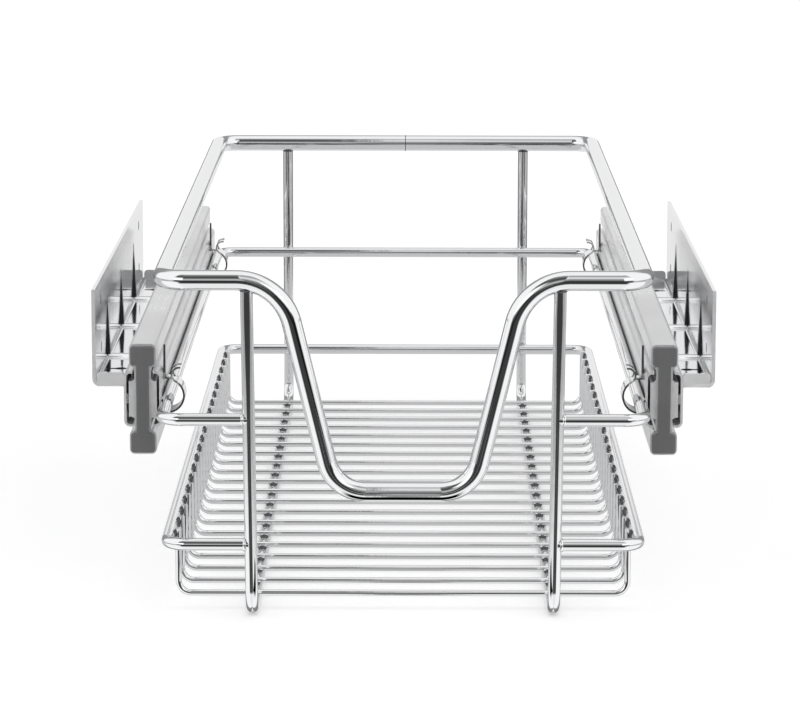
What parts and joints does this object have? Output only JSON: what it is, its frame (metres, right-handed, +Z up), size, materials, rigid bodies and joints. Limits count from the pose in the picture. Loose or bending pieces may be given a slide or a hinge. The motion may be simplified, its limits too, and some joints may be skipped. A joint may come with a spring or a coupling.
{
  "type": "pull out cabinet basket",
  "caption": "Chrome wire pull-out basket for a narrow kitchen cabinet, on ball-bearing full-extension side slides with wall brackets and a dipped wire handle.",
  "frame": {"origin": "under the middle of the closed unit, level with the underside of the basket's runners", "axes": "+X across the cabinet to the right, +Y to the back of the cabinet, +Z up; the basket slides out along -Y"},
  "size_m": [0.2548, 0.4462, 0.1392],
  "materials": {
    "chrome_wire": "polished",
    "chrome_sheet": "polished",
    "rail_steel": "satin zinc",
    "cage_steel": "satin",
    "ball_steel": "polished",
    "rivet_steel": "satin",
    "cap_plastic": "moulded, fine grain"
  },
  "bodies": {
    "mounts": {"bracket_left": "chrome_sheet", "bracket_right": "chrome_sheet", "bracket_rivets_left": "rivet_steel", "bracket_rivets_right": "rivet_steel", "cabinet_rail_left": "rail_steel", "cabinet_rail_right": "rail_steel"},
    "basket": {"top_frame": "chrome_wire", "middle_frame": "chrome_wire", "basket_rim": "chrome_wire", "cradle_wire_left": "chrome_wire", "cradle_wire_right": "chrome_wire", "basket_wires": "chrome_wire", "frame_clip_front_left": "chrome_sheet", "frame_clip_front_right": "chrome_sheet", "frame_clip_rear_left": "chrome_sheet", "frame_clip_rear_right": "chrome_sheet", "drawer_rail_left": "rail_steel", "drawer_rail_right": "rail_steel"},
    "middle_left": {"middle_rail_left": "rail_steel", "front_cap_left": "cap_plastic"},
    "middle_right": {"middle_rail_right": "rail_steel", "front_cap_right": "cap_plastic"},
    "outer_cage_left": {"outer_cage_left": "cage_steel", "outer_balls_left": "ball_steel"},
    "outer_cage_right": {"outer_cage_right": "cage_steel", "outer_balls_right": "ball_steel"},
    "inner_cage_left": {"inner_cage_left": "cage_steel", "inner_balls_left": "ball_steel"},
    "inner_cage_right": {"inner_cage_right": "cage_steel", "inner_balls_right": "ball_steel"}
  },
  "joints": [
    {"name": "basket_slide", "type": "slide", "parent": "mounts", "child": "basket", "axis": [0, -1, 0], "range_m": [0, 0.38]},
    {"name": "middle_slide_left", "type": "slide", "parent": "mounts", "child": "middle_left", "axis": [0, -1, 0], "range_m": [0, 0.19]},
    {"name": "middle_slide_right", "type": "slide", "parent": "mounts", "child": "middle_right", "axis": [0, -1, 0], "range_m": [0, 0.19]},
    {"name": "outer_cage_slide_left", "type": "slide", "parent": "mounts", "child": "outer_cage_left", "axis": [0, -1, 0], "range_m": [0, 0.095]},
    {"name": "outer_cage_slide_right", "type": "slide", "parent": "mounts", "child": "outer_cage_right", "axis": [0, -1, 0], "range_m": [0, 0.095]},
    {"name": "inner_cage_slide_left", "type": "slide", "parent": "mounts", "child": "inner_cage_left", "axis": [0, -1, 0], "range_m": [0, 0.285]},
    {"name": "inner_cage_slide_right", "type": "slide", "parent": "mounts", "child": "inner_cage_right", "axis": [0, -1, 0], "range_m": [0, 0.285]}
  ],
  "couplings": [
    {"joint": "middle_slide_left", "follows": "basket_slide", "ratio": 0.5},
    {"joint": "middle_slide_right", "follows": "basket_slide", "ratio": 0.5},
    {"joint": "outer_cage_slide_left", "follows": "basket_slide", "ratio": 0.25},
    {"joint": "outer_cage_slide_right", "follows": "basket_slide", "ratio": 0.25},
    {"joint": "inner_cage_slide_left", "follows": "basket_slide", "ratio": 0.75},
    {"joint": "inner_cage_slide_right", "follows": "basket_slide", "ratio": 0.75}
  ]
}
